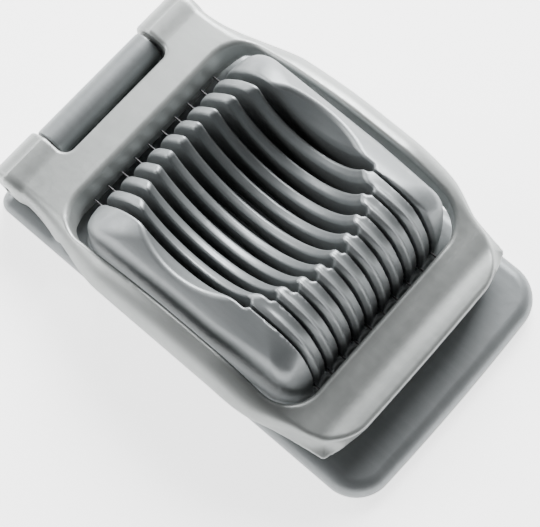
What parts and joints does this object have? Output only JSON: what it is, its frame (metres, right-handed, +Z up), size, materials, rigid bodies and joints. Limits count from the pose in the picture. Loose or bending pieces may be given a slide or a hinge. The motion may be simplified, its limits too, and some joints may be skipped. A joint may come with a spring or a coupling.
{
  "type": "egg slicer",
  "caption": "Cast egg slicer with a slotted cradle hollowed for an egg and a hinged frame strung with parallel cutting wires.",
  "frame": {"origin": "on the table, under the middle of the closed slicer's bounding box", "axes": "+X from the hinge towards the finger lip, +Y along the hinge pin, +Z up"},
  "size_m": [0.126, 0.0812, 0.0365],
  "materials": {
    "cast_base": "satin as cast",
    "cast_frame": "satin as cast",
    "steel": "plain",
    "wire_steel": "drawn wire"
  },
  "bodies": {
    "base": {"base": "cast_base"},
    "frame": {"wire_frame": "cast_frame", "hinge_pin": "steel", "wire_01": "wire_steel", "wire_02": "wire_steel", "wire_03": "wire_steel", "wire_04": "wire_steel", "wire_05": "wire_steel", "wire_06": "wire_steel", "wire_07": "wire_steel", "wire_08": "wire_steel", "wire_09": "wire_steel", "wire_10": "wire_steel", "rear_ferrules": "steel", "front_ferrules": "steel", "rear_clamp": "steel", "front_clamp": "steel", "rear_clamp_screws": "steel", "front_clamp_screws": "steel"}
  },
  "joints": [
    {"name": "frame_hinge", "type": "hinge", "parent": "base", "child": "frame", "pos_m": [-0.0575, 0, 0.0105], "axis": [0, -1, 0], "range_deg": [0, 110]}
  ]
}
